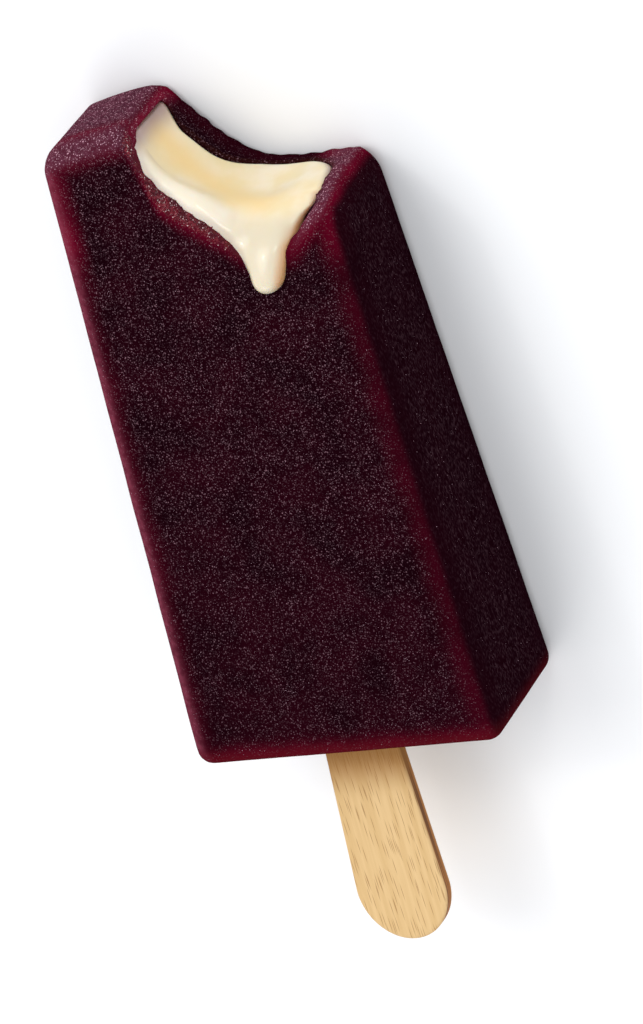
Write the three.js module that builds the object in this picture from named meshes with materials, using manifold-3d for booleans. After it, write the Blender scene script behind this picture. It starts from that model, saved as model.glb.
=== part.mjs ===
import * as THREE from 'three';
import { mergeVertices } from 'three/addons/utils/BufferGeometryUtils.js';
import Module from 'manifold-3d';

// A filled ice pop, laid on its flat back: a moulded block of dark fruit ice round a core of
// sweet cream, on a flat wooden stick. One bite has opened the tip, and the cream has run over
// the lip of the bite and down the front face in one drip.
// X runs across the pop and Y along it, from the stick to the tip. Z points up out of the front
// face, and the back face lies on Z = 0. All sizes are in millimetres.

const { clamp, lerp, smoothstep } = THREE.MathUtils;

// The moulded block. Its width and its depth shrink by the same draft towards the tip.
const BLOCK_LENGTH = 101.2;
const BLOCK_WIDTH = 50.1;
const BLOCK_DEPTH = 25.0;
const MOULD_DRAFT = 0.0625;
const EDGE_RADIUS = 2.65;
const TIP_EDGE_RADIUS = 3.2;
const TIP_EDGE_FROM = 85;
const TIP_DOME_RADIUS = 78;

// The bite. From the left-hand hump of the tip a ramp leads down to a flat floor, which runs out
// through the right-hand side. Towards the front the ramp flattens below a steep wall.
const BITE_FLOOR = 86.3;
const BITE_LIP_DROP = 0.3;
const BITE_BACK = 6;
const BITE_FRONT = 18;
const RAMP_FOOT_BACK = 2.5;
const RAMP_FOOT_FRONT = 1.6;
const RAMP_SLOPE_BACK = 1.3;
const RAMP_SLOPE_FRONT = 0.75;
const RAMP_ROUNDING = 2.0;
const WALL_X = -6.6;
const WALL_HEIGHT = 9;
const WALL_RUN = 0.7;
const SHOULDER_X = 14;
const SHOULDER_RADIUS = 32;
const HUMP_ROUNDING = 0.8;
const BACK_LIP_RADIUS = 1.1;
const FRONT_LIP_RADIUS = 2.2;
const LIP_HALF_WIDTH = 22;

// The notch that the running cream has melted into the front lip.
const NOTCH_X = 10.2;
const NOTCH_HALF_WIDTH = 6.2;
const NOTCH_DEPTH = 5.5;
const NOTCH_BACK = 11;
const NOTCH_FRONT = 16;

// The cream core and the walls of ice round it.
const SIDE_WALL = 5.2;
const BACK_WALL = 3.2;
const FRONT_WALL = 4.0;
const CORE_START = 12;
const CORE_END = 98.6;
const CORE_RADIUS = 3.6;
const CORE_SLANT = 0.18;
const CORE_SLANT_Z = 6;

// The open surface of the cream: a trough along the middle, a roll on the front lip, and on the
// right a spout that leads down to the notch.
const SAG = 1.2;
const SAG_Z = 9.5;
const SAG_RUN = 3.8;
const ROLL_HEIGHT = 1.5;
const ROLL_Z = 17;
const ROLL_RUN = 2.6;
const ROLL_FADE_FROM = 0;
const ROLL_FADE_TO = 6;
const SPOUT_X = 10.6;
const SPOUT_HALF_WIDTH = 6.6;
const SPOUT_DEPTH = 5.2;
const SPOUT_BACK = 8;
const SPOUT_FRONT = 20.5;
const SPOUT_POWER = 2.5;

// The cream outside its core: the body of the roll, and one drip down the front face.
const ROLL_RADIUS = 2.2;
const ROLL_INSET = 0.7;
const ROLL_LEFT = -8;
const ROLL_RIGHT = 13.4;
const ROLL_BACK = 12;
const ROLL_FOOT = 73;
const DRIP_TIP_Y = 73.8;
const DRIP_TIP_X = 8.9;
const DRIP_TOP_Y = 87.4;
const DRIP_TOP_X = 11.4;
const DRIP_TOP_ROUND = 0.2;
const DRIP_BULB_RADIUS = 2.5;
const DRIP_FLARE = 6.6;
const DRIP_FLARE_POWER = 2.4;
const DRIP_STANDS_OUT = 2.4;
const DRIP_SINK = 5;
const DRIP_SINK_SHARE = 0.6;

// The flat contoured stick. It lies nearly in the middle of the block and leans a little.
const STICK_LENGTH = 93;
const STICK_SHOWING = 35.8;
const STICK_WAIST = 11.8;
const STICK_WIDE_END = 14.6;
const STICK_END_LENGTH = 8.4;
const STICK_THICKNESS = 2.2;
const STICK_EDGE = 0.25;
const STICK_X = -2.4;
const STICK_Z = 14.5;
const STICK_LEAN = -0.025;

// The gap between one piece and the next, the radius of an edge that is left sharp, and the
// distance at which two points count as one.
const GAP = 0.3;
const SHARP = 0.01;
const SAME_POINT = 1e-4;

const ICE_COLOUR = 0x3a0f20;
const CREAM_COLOUR = 0xf1e3b8;
const WOOD_COLOUR = 0xd9bd8a;

const halfWidth = (y) => (BLOCK_WIDTH - MOULD_DRAFT * y) / 2;
const frontFace = (y) => BLOCK_DEPTH - MOULD_DRAFT * y;

// Soft minimum of two heights, which rounds the ridge where they meet.
function softMin(a, b, rounding) {
  return (a + b - Math.hypot(a - b, rounding)) / 2;
}

// A flat-topped bump, 1 in its middle and 1/2 at its half width.
function bump(x, middle, half) {
  return 1 / (1 + ((x - middle) / half) ** 4);
}

// Height of the bitten surface without the notch.
function biteHeight(x, z) {
  const towardsFront = smoothstep(z, BITE_BACK, BITE_FRONT);
  const foot = lerp(RAMP_FOOT_BACK, RAMP_FOOT_FRONT, towardsFront);
  const slope = lerp(RAMP_SLOPE_BACK, RAMP_SLOPE_FRONT, towardsFront);
  const ramp = slope * RAMP_ROUNDING * Math.log1p(Math.exp((foot - x) / RAMP_ROUNDING));
  const wall = WALL_HEIGHT * towardsFront / (1 + Math.exp((x - WALL_X) / WALL_RUN));
  const shoulder = Math.max(0, x - SHOULDER_X) ** 2 / (2 * SHOULDER_RADIUS);
  return BITE_FLOOR - BITE_LIP_DROP * towardsFront + ramp + wall + shoulder;
}

function notchDepth(x, z) {
  return NOTCH_DEPTH * bump(x, NOTCH_X, NOTCH_HALF_WIDTH) * smoothstep(z, NOTCH_BACK, NOTCH_FRONT);
}

const tipDome = (x) => BLOCK_LENGTH - x * x / (2 * TIP_DOME_RADIUS);

// Height of the end of the ice over its whole width: the domed tip, where it isn't bitten.
function iceEnd(x, z) {
  return softMin(tipDome(x), biteHeight(x, z) - notchDepth(x, z), HUMP_ROUNDING);
}

// Radius of the block's edges: wider at the tip, and tight along the two lips of the bite.
function iceEdge(y, x, z) {
  const whole = lerp(EDGE_RADIUS, TIP_EDGE_RADIUS, smoothstep(y, TIP_EDGE_FROM, BLOCK_LENGTH));
  const lip = lerp(BACK_LIP_RADIUS, FRONT_LIP_RADIUS, z / BLOCK_DEPTH);
  const onLip = y > TIP_EDGE_FROM - NOTCH_DEPTH && Math.abs(x) < LIP_HALF_WIDTH
    && biteHeight(x, z) < tipDome(x);
  return onLip ? lip : whole;
}

// Height of the open surface of the cream.
function creamEnd(x, z) {
  const sag = SAG * Math.exp(-(((z - SAG_Z) / SAG_RUN) ** 2));
  const roll = ROLL_HEIGHT * Math.exp(-(((z - ROLL_Z) / ROLL_RUN) ** 2))
    * (1 - smoothstep(x, ROLL_FADE_FROM, ROLL_FADE_TO));
  const along = Math.max(z - SPOUT_BACK, 0) / (SPOUT_FRONT - SPOUT_BACK);
  const spout = SPOUT_DEPTH * along ** SPOUT_POWER * bump(x, SPOUT_X, SPOUT_HALF_WIDTH);
  return softMin(CORE_END, biteHeight(x, z) - sag + roll - spout, HUMP_ROUNDING);
}

// The lines of a bar's grid stand close together over these shares of its width, length and
// depth at each rounded edge, and evenly between them.
const EDGE_LINES = { across: [4, 0.08], along: [3, 0.035], through: [3, 0.15] };

function gridLine(t, count, [edgeCount, edgeShare]) {
  const edge = edgeCount / count;
  if (t < edge) return edgeShare * t / edge;
  if (t > 1 - edge) return 1 - edgeShare * (1 - t) / edge;
  return edgeShare + (1 - 2 * edgeShare) * (t - edge) / (1 - 2 * edge);
}

// A closed bar with rounded edges. Its sides, back and front depend on the height along it, and
// its far end is a surface over X and Z. A slant draws its right side in towards the front.
function bar({ side, back, front, start, end, longest, radius, lines, slant = 0 }) {
  const [across, along, through] = lines;
  const geometry = new THREE.BoxGeometry(1, 1, 1, across, along, through);
  const position = geometry.attributes.position;
  const corner = new THREE.Vector3();
  const inner = new THREE.Vector3();
  for (let i = 0; i < position.count; i++) {
    const u = gridLine(position.getX(i) + 0.5, across, EDGE_LINES.across);
    const v = gridLine(position.getY(i) + 0.5, along, EDGE_LINES.along);
    const w = gridLine(position.getZ(i) + 0.5, through, EDGE_LINES.through);
    const level = lerp(start, longest, v);
    const endHere = end(side(level) * (2 * u - 1), lerp(back, front(level), w));
    const y = level + (endHere - longest) * v * v;
    const half = side(y);
    const top = front(y);
    corner.set(half * (2 * u - 1), y, lerp(back, top, w));
    const r = radius(corner.y, corner.x, corner.z);
    inner.set(
      clamp(corner.x, -half + r, half - r),
      clamp(corner.y, start + r, endHere - r),
      clamp(corner.z, back + r, top - r),
    );
    corner.sub(inner).setLength(r).add(inner);
    const drawnIn = corner.x > 0 ? slant * Math.max(corner.z - CORE_SLANT_Z, 0) / half : 0;
    position.setXYZ(i, corner.x * (1 - drawnIn), corner.y, corner.z);
  }
  return geometry;
}

// A closed spindle: rings round a centre line that runs along its length, with its own half
// width and half thickness at each step.
function spindle({ centre, halfAcross, halfThick, rings, sides }) {
  const profile = [];
  for (let i = 0; i <= rings; i++) {
    profile.push(new THREE.Vector2(i === 0 || i === rings ? 0 : 1, i / rings));
  }
  const geometry = new THREE.LatheGeometry(profile, sides);
  const position = geometry.attributes.position;
  for (let i = 0; i < position.count; i++) {
    const t = position.getY(i);
    const { point, across, outward } = centre(t);
    const place = point.clone()
      .addScaledVector(across, position.getX(i) * halfAcross(t))
      .addScaledVector(outward, position.getZ(i) * halfThick(t));
    position.setXYZ(i, place.x, place.y, place.z);
  }
  return geometry;
}

const wasm = await Module();
wasm.setup();

function solid(geometry) {
  const bare = geometry.clone();
  bare.deleteAttribute('normal');
  bare.deleteAttribute('uv');
  const merged = mergeVertices(bare, SAME_POINT);
  return new wasm.Manifold(new wasm.Mesh({
    numProp: 3,
    vertProperties: new Float32Array(merged.attributes.position.array),
    triVerts: new Uint32Array(merged.index.array),
  }));
}

function geometryOf(manifold) {
  const { vertProperties, triVerts } = manifold.getMesh();
  const geometry = new THREE.BufferGeometry();
  geometry.setAttribute('position', new THREE.BufferAttribute(vertProperties, 3));
  geometry.setIndex(new THREE.BufferAttribute(triVerts, 1));
  geometry.computeVertexNormals();
  return geometry;
}

// The block of ice with its bitten end. It can be grown on all sides to leave a gap round it.
function iceForm(grow) {
  return solid(bar({
    side: (y) => halfWidth(y) + grow,
    back: -grow,
    front: (y) => frontFace(y) + grow,
    start: -grow,
    end: (x, z) => iceEnd(x, z) + grow,
    longest: BLOCK_LENGTH + grow,
    radius: iceEdge,
    lines: [34, 14, 18],
  }));
}

// The room for the core, grown on all sides, or drawn in.
function coreForm(grow) {
  return solid(bar({
    side: (y) => halfWidth(y) - SIDE_WALL + grow,
    back: BACK_WALL - grow,
    front: (y) => frontFace(y) - FRONT_WALL + grow,
    start: CORE_START - grow,
    end: () => CORE_END + Math.abs(grow),
    longest: CORE_END + Math.abs(grow),
    radius: () => CORE_RADIUS,
    lines: [24, 8, 10],
    slant: CORE_SLANT,
  }));
}

// A big plain bar under the open surface of the cream, to cut the cream off at that surface.
function everythingUnderSheet() {
  return solid(bar({
    side: () => BLOCK_WIDTH / 2,
    back: 0,
    front: () => BLOCK_DEPTH,
    start: 0,
    end: creamEnd,
    longest: BLOCK_LENGTH,
    radius: () => SHARP,
    lines: [40, 8, 18],
  }));
}

// The body of the roll that lies on the front lip from the hump to the drip.
function rollForm() {
  const middle = (ROLL_LEFT + ROLL_RIGHT) / 2;
  return solid(bar({
    side: () => (ROLL_RIGHT - ROLL_LEFT) / 2,
    back: ROLL_BACK,
    front: (y) => frontFace(y) - ROLL_INSET,
    start: ROLL_FOOT,
    end: (x, z) => creamEnd(x + middle, z),
    longest: CORE_END,
    radius: () => ROLL_RADIUS,
    lines: [22, 8, 10],
  }).translate(middle, 0, 0));
}

// The drip: wide and sunk where it leaves the mouth, narrow above its round bulb.
function dripForm() {
  const length = DRIP_TOP_Y - DRIP_TIP_Y;
  const centre = (t) => {
    const y = lerp(DRIP_TOP_Y, DRIP_TIP_Y, t);
    const sunk = DRIP_SINK * (1 - smoothstep(t, 0, DRIP_SINK_SHARE)) ** 2;
    return {
      point: new THREE.Vector3(lerp(DRIP_TOP_X, DRIP_TIP_X, t), y, frontFace(y) - sunk),
      across: new THREE.Vector3(-1, 0, 0),
      outward: new THREE.Vector3(0, 0, 1),
    };
  };
  const roundEnd = (reach) => Math.sqrt(1 - (1 - clamp(reach, 0, 1)) ** 2);
  const round = (t) => roundEnd((1 - t) * length / DRIP_BULB_RADIUS) * roundEnd(t / DRIP_TOP_ROUND);
  const flared = (t) => DRIP_BULB_RADIUS + DRIP_FLARE * (1 - t) ** DRIP_FLARE_POWER;
  return solid(spindle({
    centre,
    halfAcross: (t) => flared(t) * round(t),
    halfThick: (t) => DRIP_STANDS_OUT * round(t),
    rings: 22,
    sides: 20,
  }));
}

// The stick in its own frame: Y = 0 where it leaves the ice, its wide end towards -Y.
function stickForm(grow) {
  const waist = STICK_WAIST / 2 - STICK_EDGE;
  const wide = STICK_WIDE_END / 2 - STICK_EDGE;
  const low = -STICK_SHOWING + STICK_EDGE;
  const high = STICK_LENGTH - STICK_SHOWING - STICK_EDGE;
  const outline = new THREE.Shape();
  outline.moveTo(-waist, high - waist);
  outline.lineTo(-waist, 0);
  outline.lineTo(-wide, low + STICK_END_LENGTH);
  outline.absellipse(0, low + STICK_END_LENGTH, wide, STICK_END_LENGTH, Math.PI, 2 * Math.PI);
  outline.lineTo(waist, 0);
  outline.lineTo(waist, high - waist);
  outline.absarc(0, high - waist, waist, 0, Math.PI);
  const geometry = new THREE.ExtrudeGeometry(outline, {
    depth: STICK_THICKNESS - 2 * STICK_EDGE,
    bevelThickness: STICK_EDGE + grow,
    bevelSize: STICK_EDGE + grow,
    bevelSegments: 1,
    curveSegments: 10,
  });
  geometry.translate(0, 0, STICK_EDGE - STICK_THICKNESS / 2);
  return geometry;
}

// Sets the stick into the block: it follows the sloping middle plane of the block.
const stickPlace = new THREE.Matrix4()
  .makeTranslation(STICK_X, 0, STICK_Z)
  .multiply(new THREE.Matrix4().makeRotationX(-Math.atan(MOULD_DRAFT / 2)))
  .multiply(new THREE.Matrix4().makeRotationZ(STICK_LEAN));

const stickRoom = solid(stickForm(GAP).applyMatrix4(stickPlace));

const ice = iceForm(0).subtract(coreForm(GAP)).subtract(stickRoom);

// The roll and the drip keep clear of the walls of ice, and join the core well inside them.
const wallsWithGap = iceForm(GAP).subtract(coreForm(-GAP));
const overflow = rollForm().add(dripForm()).subtract(wallsWithGap);
const cream = coreForm(0)
  .add(overflow)
  .intersect(everythingUnderSheet())
  .subtract(stickRoom);

function piece(name, geometry, color, roughness) {
  const material = new THREE.MeshStandardMaterial({ color, roughness, metalness: 0 });
  const mesh = new THREE.Mesh(geometry, material);
  mesh.name = name;
  return mesh;
}

const stick = piece('stick', stickForm(0), WOOD_COLOUR, 0.6);
stick.applyMatrix4(stickPlace);

// The part's origin is the middle of the flat back of the block.
const pop = new THREE.Group();
pop.add(
  piece('ice_block', geometryOf(ice), ICE_COLOUR, 0.55),
  piece('cream_filling', geometryOf(cream), CREAM_COLOUR, 0.3),
  stick,
);
pop.position.y = -BLOCK_LENGTH / 2;

const group = new THREE.Group();
group.add(pop);

export default group;
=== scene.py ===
# A filled ice pop that lies on its flat back: a moulded block of dark fruit ice round a core of
# sweet cream, on a flat wooden stick. A bite has opened the tip, and the cream runs over the lip.
# Sizes are in millimetres. x runs across the pop, z points up out of its front face, and y runs
# along it, counted from the end of the block that holds the stick.
import math

import bpy
import numpy as np
from mathutils import Matrix, Vector, noise


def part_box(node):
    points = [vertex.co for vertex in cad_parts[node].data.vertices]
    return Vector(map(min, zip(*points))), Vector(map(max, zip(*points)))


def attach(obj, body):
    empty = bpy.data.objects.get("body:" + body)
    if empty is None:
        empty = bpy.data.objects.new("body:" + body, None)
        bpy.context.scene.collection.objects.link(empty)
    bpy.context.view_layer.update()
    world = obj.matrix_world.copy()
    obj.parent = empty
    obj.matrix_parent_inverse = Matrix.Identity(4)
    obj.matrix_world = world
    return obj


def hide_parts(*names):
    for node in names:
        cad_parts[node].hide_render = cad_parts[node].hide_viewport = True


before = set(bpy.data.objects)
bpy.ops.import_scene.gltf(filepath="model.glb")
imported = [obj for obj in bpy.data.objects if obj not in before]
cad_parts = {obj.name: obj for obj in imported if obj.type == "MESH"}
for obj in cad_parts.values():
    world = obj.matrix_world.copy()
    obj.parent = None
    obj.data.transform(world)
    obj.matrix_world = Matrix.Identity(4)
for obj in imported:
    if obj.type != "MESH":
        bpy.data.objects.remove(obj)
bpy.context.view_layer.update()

# ---------------------------------------------------------------- the block of fruit ice
# Dark fruit juice, frozen hard round the cream in a tapering metal mould. The faces are dry and
# carry a bloom of fine frost with a painted sheen. The crimson glow of light through the thin
# edges is painted into the colour, as is shade on the right face and behind the cream, and the
# lip of the bite has begun to melt.
MM = 0.001
MOULD_DRAFT = 0.0625
EDGE_RADIUS = 2.65
TIP_EDGE_RADIUS = 3.2
TIP_DOME_RADIUS = 78
block_low, block_high = (np.array(corner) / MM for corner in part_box("ice_block"))
BLOCK_LENGTH = -2 * block_low[1]
BLOCK_WIDTH = 2 * block_high[0] + MOULD_DRAFT * EDGE_RADIUS
BLOCK_DEPTH = block_high[2] + MOULD_DRAFT * EDGE_RADIUS

BITE_FLOOR = 86.3
RAMP_FOOT_BACK, RAMP_FOOT_FRONT = 2.5, 1.6
RAMP_SLOPE_BACK, RAMP_SLOPE_FRONT = 1.3, 0.75
RAMP_ROUNDING = 2.0
WALL_X = -6.6
WALL_HEIGHT = 9.0
WALL_RUN = 0.7
BITE_LIP_DROP = 0.3
BITE_BACK, BITE_FRONT = 6, 18
BITE_SHOULDER_X = 14
BITE_SHOULDER_RADIUS = 32
HUMP_ROUNDING = 0.8
BACK_LIP_RADIUS = 1.1
FRONT_LIP_RADIUS = 2.2
SHOULDER_ROUNDING = 1.3
NOTCH_X = 10.2
NOTCH_HALF_WIDTH = 6.2
NOTCH_DEPTH = 5.5
NOTCH_BACK, NOTCH_FRONT = 11, 16
# From here on a pair is where a change starts and where it is complete.
BITTEN = -0.5, 1.5
LIP_THROUGH = 3, 20
LIP_END_X, LIP_END_FADE = 22, (0, 3)
SHOULDER_ACROSS = 17, 21

SIDE_WALL = 5.2
BACK_WALL = 3.2
FRONT_WALL = 4.0
CORE_START = 12
CORE_END = 98.6
CORE_RADIUS = 3.6
CORE_RADIUS_OPEN = 6.0
RIGHT_OPENING = 0.8
OPENING_ALONG, OPENING_ACROSS, OPENING_THROUGH = (80, 85), (4, 12), (12, 9)
BACK_LEDGE = 2.8
LEDGE_LEFT, LEDGE_RIGHT, LEDGE_ALONG = (-8, -4.2), (6, -1.5), (78, 88)
SPILL_EDGE = 14.0
SPILL_FROM = 81.0
SPILL_SPREAD, SPILL_POWER = 0.28, 1.7
SPILL_SLANT = 0.75
SPILL_CLEAR, SPILL_THROUGH, SPILL_ALONG = 5, (11, 13.5), (78, 80)
ROOM_GROWTH = 0.05
ROOM_END_RADIUS = 1.5

ICE_CELL = 0.5
ICE_CELL_ALONG = 0.95
FINE_FROM = 72
FINE_CELL = 0.42
ICE_SPAN_X, ICE_SPAN_Z = (-26.3, 26.4), (-1.3, 26.5)
ICE_START, ICE_MARGIN = -1.2, 1.5
FLAT_SLOPE = 0.05
FACE_WAVE, FACE_RELIEF = 7.0, 0.07
BITE_WAVE, BITE_RELIEF, BITE_LEVEL = 1.8, 0.34, 0.3


def smooth(value, low, high):
    """0 below low, 1 above high, and an even S-curve between them."""
    t = np.clip((value - low) / (high - low), 0, 1)
    return t * t * (3 - 2 * t)


def half_width(y):
    """Half the block's width, which the mould's draft narrows towards the tip."""
    return (BLOCK_WIDTH - MOULD_DRAFT * y) / 2


def front_face(y):
    """How high the front face stands over the flat back."""
    return BLOCK_DEPTH - MOULD_DRAFT * y


def soft_min(a, b, rounding):
    """The lower of two heights, with the ridge where they meet rounded off."""
    return (a + b - np.hypot(a - b, rounding)) / 2


def round_edge(a, b, radius):
    """Depth inside two faces at once, with the edge between them rounded to a radius."""
    over = np.hypot(np.maximum(a + radius, 0), np.maximum(b + radius, 0))
    return np.minimum(np.maximum(a, b), -radius) + over


def bite_height(x, z):
    """The bitten surface: a ramp down from the hump, a floor and a low shoulder on the right.
    Towards the front the ramp flattens, and a steep wall stands between it and the hump."""
    to_front = smooth(z, BITE_BACK, BITE_FRONT)
    foot = RAMP_FOOT_BACK + (RAMP_FOOT_FRONT - RAMP_FOOT_BACK) * to_front
    slope = RAMP_SLOPE_BACK + (RAMP_SLOPE_FRONT - RAMP_SLOPE_BACK) * to_front
    ramp = slope * RAMP_ROUNDING * np.logaddexp(0, (foot - x) / RAMP_ROUNDING)
    runs = np.clip((x - WALL_X) / WALL_RUN, -30, 30)
    wall = WALL_HEIGHT * to_front / (1 + np.exp(runs))
    shoulder = np.maximum(0, x - BITE_SHOULDER_X) ** 2 / (2 * BITE_SHOULDER_RADIUS)
    return BITE_FLOOR - BITE_LIP_DROP * to_front + ramp + wall + shoulder


def flat_bump(x, middle, half):
    """A flat-topped bump, 1 in its middle and 1/2 at its half width."""
    return 1 / (1 + ((x - middle) / half) ** 4)


def notch_depth(x, z):
    """How far the front lip has melted away where the cream runs over it."""
    across = flat_bump(x, NOTCH_X, NOTCH_HALF_WIDTH)
    return NOTCH_DEPTH * across * smooth(z, NOTCH_BACK, NOTCH_FRONT)


def tip_dome(x):
    """The tip that the mould gave the block."""
    return BLOCK_LENGTH - x * x / (2 * TIP_DOME_RADIUS)


def bitten(x, z):
    """1 where the bite lies below the domed tip, 0 on the tip that is left."""
    return smooth(tip_dome(x) - bite_height(x, z), *BITTEN)


def ice_end(x, z):
    """The block's end now: the domed tip, or the bite where that is lower."""
    return soft_min(tip_dome(x), bite_height(x, z) - notch_depth(x, z), HUMP_ROUNDING)


def steepness(height, x, z, step=0.2):
    """How much longer the slope of a height is than its run, to turn heights into distances."""
    across = (height(x + step, z) - height(x - step, z)) / (2 * step)
    through = (height(x, z + step) - height(x, z - step)) / (2 * step)
    return np.sqrt(1 + across ** 2 + through ** 2)


def spill_edge(y):
    """How far right the cream has spread where it spills over the lip."""
    return SPILL_EDGE + SPILL_SPREAD * np.maximum(y - SPILL_FROM, 0) ** SPILL_POWER


def core_sides(x, y, z, grow=0.0):
    """The core's sides. At the bite the wall behind it is thicker, and the right one thinner."""
    opening = smooth(y, *OPENING_ALONG) * smooth(x, *OPENING_ACROSS)
    spilt = smooth(z, *SPILL_THROUGH) * smooth(y, *SPILL_ALONG)
    spill = SPILL_SLANT * (x - spill_edge(y) - grow) - SPILL_CLEAR * (1 - spilt)
    across = np.abs(x) - half_width(y) + SIDE_WALL - RIGHT_OPENING * opening - grow
    ledge = BACK_LEDGE * smooth(x, *LEDGE_LEFT) * smooth(x, *LEDGE_RIGHT)
    ledge *= smooth(y, *LEDGE_ALONG)
    through = np.maximum(BACK_WALL + ledge - grow - z, z - front_face(y) + FRONT_WALL - grow)
    opened = opening * smooth(z, *OPENING_THROUGH)
    radius = CORE_RADIUS + (CORE_RADIUS_OPEN - CORE_RADIUS) * opened
    return round_edge(np.maximum(across, spill), through, radius)


def ice_field(x, y, z):
    """Below 0 inside the ice: the block as the bite left it, less the room for its core."""
    long_edges = round_edge(np.abs(x) - half_width(y), np.maximum(-z, z - front_face(y)),
                            EDGE_RADIUS)
    end = (y - ice_end(x, z)) / steepness(ice_end, x, z)
    lip = BACK_LIP_RADIUS + (FRONT_LIP_RADIUS - BACK_LIP_RADIUS) * smooth(z, *LIP_THROUGH)
    radius = TIP_EDGE_RADIUS + ((lip - TIP_EDGE_RADIUS) * bitten(x, z)
                                * smooth(LIP_END_X - np.abs(x), *LIP_END_FADE))
    radius += SHOULDER_ROUNDING * bitten(x, z) * smooth(x, *SHOULDER_ACROSS)
    radius = np.where(y < BLOCK_LENGTH / 2, EDGE_RADIUS, radius)
    block = round_edge(long_edges, np.maximum(end, -y), radius)
    room = round_edge(core_sides(x, y, z, ROOM_GROWTH),
                      np.maximum(CORE_START - y, y - CORE_END), ROOM_END_RADIUS)
    return np.maximum(block, -room)


def skin(field, xs, ys, zs, polish=4):
    """A closed net of four-sided faces over the surface where the field is 0."""
    axes = [np.asarray(a, float) for a in (xs, ys, zs)]
    grid = np.stack(np.meshgrid(*axes, indexing="ij"), -1)
    value = field(grid[..., 0], grid[..., 1], grid[..., 2])
    cells = tuple(n - 1 for n in value.shape)
    total, count = np.zeros(cells + (3,)), np.zeros(cells)
    crossings = []
    for axis in range(3):
        near = [slice(None)] * 3
        far = [slice(None)] * 3
        near[axis], far[axis] = slice(None, -1), slice(1, None)
        a, b = value[tuple(near)], value[tuple(far)]
        crosses = (a < 0) != (b < 0)
        share = np.where(crosses, a / np.where(crosses, a - b, 1), 0)[..., None]
        point = grid[tuple(near)] * (1 - share) + grid[tuple(far)] * share
        point[~crosses] = 0
        others = [k for k in range(3) if k != axis]
        for first in (slice(None, -1), slice(1, None)):
            for second in (slice(None, -1), slice(1, None)):
                part = [slice(None)] * 3
                part[others[0]], part[others[1]] = first, second
                total += point[tuple(part)]
                count += crosses[tuple(part)]
        crossings.append((crosses, a < 0, others))
    used = count > 0
    number = np.full(cells, -1)
    number[used] = np.arange(used.sum())
    points = total[used] / count[used][:, None]
    faces = []
    for axis, (crosses, leaving, others) in enumerate(crossings):
        inner = [slice(None)] * 3
        for k in others:
            inner[k] = slice(1, -1)
        where = np.argwhere(crosses[tuple(inner)])
        outward = leaving[tuple(inner)][tuple(where.T)]
        ring = []
        for first, second in ((0, 0), (1, 0), (1, 1), (0, 1)):
            cell = where.copy()
            cell[:, others[0]] += first
            cell[:, others[1]] += second
            ring.append(number[tuple(cell.T)])
        ring = np.stack(ring, 1)
        if axis == 1:
            outward = ~outward
        ring[~outward] = ring[~outward][:, ::-1]
        faces.append(ring)
    for _ in range(polish):
        points = settle(field, points)
    return points, np.concatenate(faces)


def slope_of(field, points, step=0.02):
    """The field's gradient at each point."""
    columns = []
    for axis in range(3):
        ahead, behind = points.copy(), points.copy()
        ahead[:, axis] += step
        behind[:, axis] -= step
        columns.append((field(*ahead.T) - field(*behind.T)) / (2 * step))
    return np.stack(columns, 1)


def settle(field, points, reach=0.25):
    """Moves each point onto the surface, straight along the field's gradient."""
    gradient = slope_of(field, points)
    length2 = np.maximum((gradient ** 2).sum(1), FLAT_SLOPE)
    move = -gradient * (field(*points.T) / length2)[:, None]
    return points + np.clip(move, -reach, reach)


def wavy(points, wave):
    """Smooth noise from -1 to 1 at each point, with bumps about one wave apart."""
    return np.array([noise.noise(Vector(p)) for p in points / wave])


def keep_inside(points):
    """Trims what stands out of the block's own limits."""
    shift = np.array([0, block_low[1], 0])
    return np.clip(points + shift, block_low, block_high) - shift


def make_piece(name, points, faces, marks=None):
    """A smooth-shaded object from points in millimetres, with a value per point for each mark."""
    mesh = bpy.data.meshes.new(name)
    placed = (points + [0, block_low[1], 0]) * MM
    mesh.from_pydata(placed.tolist(), [], faces.tolist())
    for mark, values in (marks or {}).items():
        mesh.attributes.new(mark, "FLOAT", "POINT").data.foreach_set(
            "value", np.asarray(values, np.float32))
    mesh.shade_smooth()
    piece = bpy.data.objects.new(name, mesh)
    bpy.context.scene.collection.objects.link(piece)
    return piece


class Wire:
    """A socket in a material. Sums on values add Math nodes, and add() adds any other node."""

    def __init__(self, tree, socket=None):
        self.tree, self.socket = tree, socket

    def add(self, kind, settings=None, inputs=None, output=0):
        node = self.tree.nodes.new("ShaderNode" + kind)
        for name, value in (settings or {}).items():
            setattr(node, name, value)
        for name, value in (inputs or {}).items():
            if isinstance(value, Wire):
                self.tree.links.new(value.socket, node.inputs[name])
            else:
                node.inputs[name].default_value = value
        return Wire(self.tree, node.outputs[output])

    def math(self, operation, first, second):
        return self.add("Math", {"operation": operation}, {0: first, 1: second})

    def __add__(self, other):
        return self.math("ADD", self, other)

    __radd__ = __add__

    def __sub__(self, other):
        return self.math("SUBTRACT", self, other)

    def __rsub__(self, other):
        return self.math("SUBTRACT", other, self)

    def __mul__(self, other):
        return self.math("MULTIPLY", self, other)

    __rmul__ = __mul__

    def between(self, low, high):
        """0 up to low, 1 from high on, smooth between them. High may be the lower number."""
        return self.add("MapRange", {"interpolation_type": "SMOOTHSTEP"},
                        {"Value": self, "From Min": low, "From Max": high})


def colour(red, green, blue):
    """A colour as seen on a screen, from 0 to 255, as the shader's linear light."""
    channels = [c / 255 for c in (red, green, blue)]
    return [c / 12.92 if c <= 0.04045 else ((c + 0.055) / 1.055) ** 2.4 for c in channels] + [1]


def blend(start, first, second, share):
    """The first colour, turning into the second one by a share."""
    return start.add("Mix", {"data_type": "RGBA"}, {0: share, 6: first, 7: second}, 2)


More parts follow.
